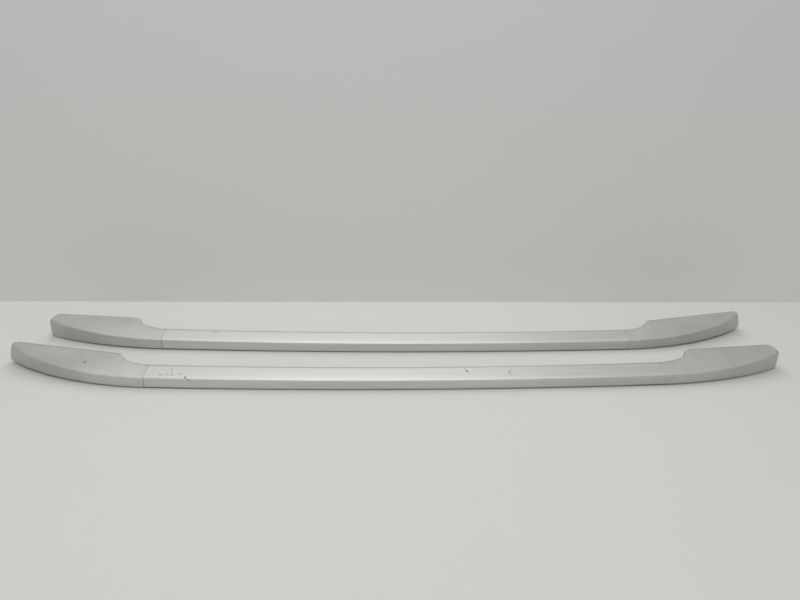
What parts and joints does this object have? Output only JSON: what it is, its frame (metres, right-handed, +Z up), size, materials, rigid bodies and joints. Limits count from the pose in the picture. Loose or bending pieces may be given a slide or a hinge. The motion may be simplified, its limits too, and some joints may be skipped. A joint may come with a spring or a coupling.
{
  "type": "pair of roof rails",
  "caption": "Arched silver car roof rails, a left and right pair, each a hollow bar between long hollow end feet on studs, lying on their sides.",
  "frame": {"origin": "bottom centre of the pair's bounding box, on the surface that the rails lie on", "axes": "+X along the rails, with the right-hand rail's front at -X and the left-hand rail's front at +X; +Y from the crowns of the bars towards the feet's bases; +Z up from the surface, out of the rails' outer sides"},
  "size_m": [1.6176, 0.3025, 0.0489],
  "materials": {
    "anodised_bar": "satin anodised",
    "painted_cover": "matte silver paint",
    "cast_bracket": "as cast",
    "gasket_rubber": "matte black",
    "zinc_steel": "zinc plated"
  },
  "bodies": {
    "root": {"right_bar": "anodised_bar", "left_bar": "anodised_bar", "right_front_cover": "painted_cover", "right_front_bracket": "cast_bracket", "right_front_gasket": "gasket_rubber", "right_front_studs": "zinc_steel", "right_front_stud_seals": "gasket_rubber", "right_front_bar_screws": "zinc_steel", "right_front_cover_screws": "zinc_steel", "right_rear_cover": "painted_cover", "right_rear_bracket": "cast_bracket", "right_rear_gasket": "gasket_rubber", "right_rear_studs": "zinc_steel", "right_rear_stud_seals": "gasket_rubber", "right_rear_bar_screws": "zinc_steel", "right_rear_cover_screws": "zinc_steel", "left_front_cover": "painted_cover", "left_front_bracket": "cast_bracket", "left_front_gasket": "gasket_rubber", "left_front_studs": "zinc_steel", "left_front_stud_seals": "gasket_rubber", "left_front_bar_screws": "zinc_steel", "left_front_cover_screws": "zinc_steel", "left_rear_cover": "painted_cover", "left_rear_bracket": "cast_bracket", "left_rear_gasket": "gasket_rubber", "left_rear_studs": "zinc_steel", "left_rear_stud_seals": "gasket_rubber", "left_rear_bar_screws": "zinc_steel", "left_rear_cover_screws": "zinc_steel"}
  },
  "joints": []
}
